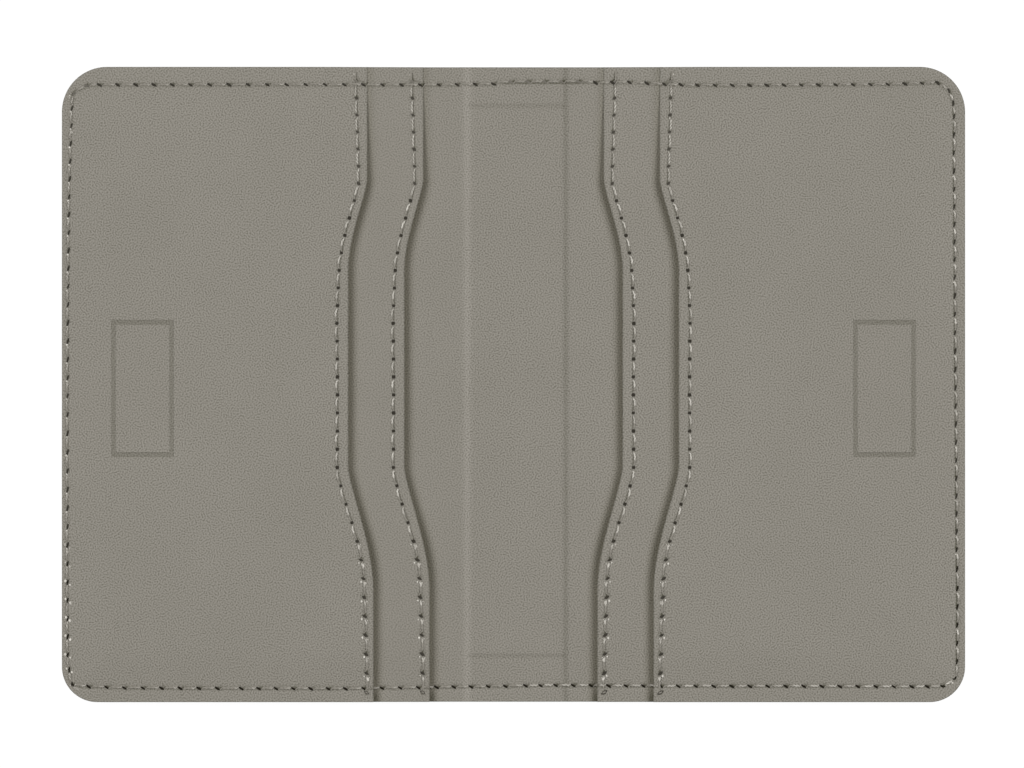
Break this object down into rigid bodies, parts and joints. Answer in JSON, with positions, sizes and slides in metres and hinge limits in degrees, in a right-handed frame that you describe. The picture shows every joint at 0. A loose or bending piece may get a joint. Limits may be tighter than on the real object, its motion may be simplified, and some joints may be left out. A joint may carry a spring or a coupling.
{
  "type": "card wallet",
  "caption": "Folding card wallet in pebbled imitation leather, lying open, with wavy-mouthed card pockets, stiffening boards, edge stitching and closing magnets.",
  "frame": {"origin": "middle of the open wallet's outline, on the plane of the outer cover's outside", "axes": "+X across the open wallet to the right half, +Y up the wallet along its folds, +Z out of its inside face"},
  "size_m": [0.135, 0.095, 0.0052],
  "materials": {
    "leather": "finely pebbled imitation leather, satin",
    "thread": "twisted polyester sewing thread",
    "board": "plain grey board",
    "backing": "matt backing cloth",
    "magnet": "plated, satin"
  },
  "bodies": {
    "spine": {"spine_cover": "leather", "spine_board": "board", "spine_lining": "leather", "left_cover_crease": "leather", "right_cover_crease": "leather", "left_lining_crease": "leather", "right_lining_crease": "leather", "spine_top_thread": "thread", "spine_bottom_thread": "thread", "spine_top_bobbin_thread": "thread", "spine_bottom_bobbin_thread": "thread"},
    "left_half": {"left_cover": "leather", "left_board": "board", "left_lining": "leather", "left_rear_backing": "backing", "left_rear_pocket": "leather", "left_front_backing": "backing", "left_front_pocket": "leather", "left_magnet": "magnet", "left_rear_mouth_thread": "thread", "left_front_mouth_thread": "thread", "left_edge_thread": "thread", "left_edge_bobbin_thread": "thread"},
    "right_half": {"right_cover": "leather", "right_board": "board", "right_lining": "leather", "right_rear_backing": "backing", "right_rear_pocket": "leather", "right_front_backing": "backing", "right_front_pocket": "leather", "right_magnet": "magnet", "right_rear_mouth_thread": "thread", "right_front_mouth_thread": "thread", "right_edge_thread": "thread", "right_edge_bobbin_thread": "thread"}
  },
  "joints": [
    {"name": "left_fold", "type": "hinge", "parent": "spine", "child": "left_half", "pos_m": [-0.00694, 0, 0.0004], "axis": [0, 1, 0], "range_deg": [0, 92], "deforming": ["left_cover_crease", "left_lining_crease"]},
    {"name": "right_fold", "type": "hinge", "parent": "spine", "child": "right_half", "pos_m": [0.00774, 0, 0.0004], "axis": [0, -1, 0], "range_deg": [0, 92], "deforming": ["right_cover_crease", "right_lining_crease"]}
  ]
}
